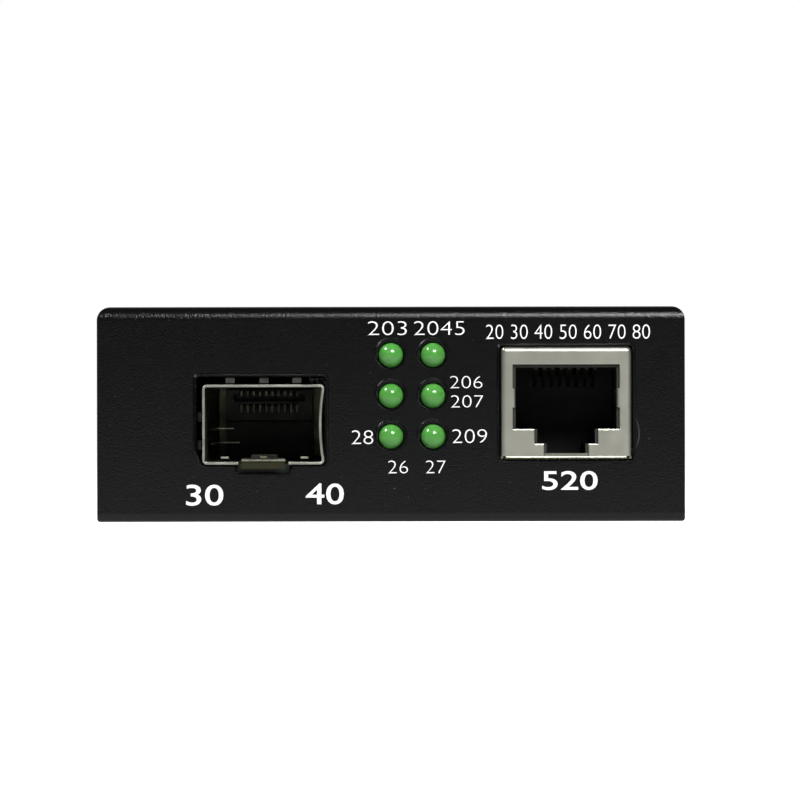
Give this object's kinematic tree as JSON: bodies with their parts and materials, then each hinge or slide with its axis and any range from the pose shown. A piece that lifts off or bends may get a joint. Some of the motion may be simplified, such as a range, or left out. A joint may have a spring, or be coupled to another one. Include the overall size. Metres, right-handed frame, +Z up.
{
  "type": "fibre media converter",
  "caption": "Small black steel case that links a copper network port to a cage for an optical module, with status lights beside the cage and a power inlet at the back.",
  "frame": {"origin": "middle of the case's outline seen from above, in the plane of its underside", "axes": "+X to the right seen from the front, +Y from the front panel to the back, +Z up"},
  "size_m": [0.071, 0.0952, 0.026],
  "materials": {
    "chassis": "satin black powder coat on folded steel sheet",
    "top_cover": "satin black powder coat on folded steel sheet",
    "cover_screws": "black oxide steel",
    "plated_steel": "satin nickel plate",
    "zinc_steel": "bright zinc plate",
    "brass_posts": "turned brass",
    "circuit_board": "green solder mask on glass laminate",
    "black_moulding": "moulded black plastic",
    "black_gloss_moulding": "moulded black plastic, polished tool",
    "gold_contacts": "gold plate on spring bronze",
    "tin_leads": "bright tin plate",
    "spring_steel": "thin spring steel",
    "green_lens": "tinted clear epoxy",
    "chip_moulding": "epoxy moulding",
    "grey_pad": "soft thermal pad",
    "black_aluminium": "black anodised extrusion",
    "ferrite": "pressed ferrite powder",
    "can_aluminium": "bright drawn can"
  },
  "bodies": {
    "root": {"chassis": "chassis", "top_cover": "top_cover", "cover_screws": "cover_screws", "board_standoffs": "brass_posts", "board_screws": "zinc_steel", "circuit_board": "circuit_board", "copper_port_shell": "plated_steel", "copper_port_housing": "black_moulding", "copper_port_contacts": "gold_contacts", "module_cage": "plated_steel", "cage_spring_collar": "spring_steel", "module_connector": "black_moulding", "module_connector_leads": "gold_contacts", "light_holder": "black_moulding", "light_leads": "tin_leads", "power_inlet": "black_gloss_moulding", "power_inlet_pin": "tin_leads", "power_inlet_spring": "spring_steel", "switch_chip": "chip_moulding", "thermal_pad": "grey_pad", "heat_sink": "black_aluminium", "lan_transformer": "chip_moulding", "lan_transformer_leads": "tin_leads", "regulator_chip": "chip_moulding", "memory_chip": "chip_moulding", "small_chip_leads": "tin_leads", "clock_crystal": "zinc_steel", "power_inductor": "ferrite", "capacitor_left": "can_aluminium", "capacitor_middle": "can_aluminium", "capacitor_right": "can_aluminium", "capacitor_base_left": "black_moulding", "capacitor_base_middle": "black_moulding", "capacitor_base_right": "black_moulding", "light_bottom_left": "green_lens", "light_middle_left": "green_lens", "light_top_left": "green_lens", "light_bottom_right": "green_lens", "light_middle_right": "green_lens", "light_top_right": "green_lens"}
  },
  "joints": []
}
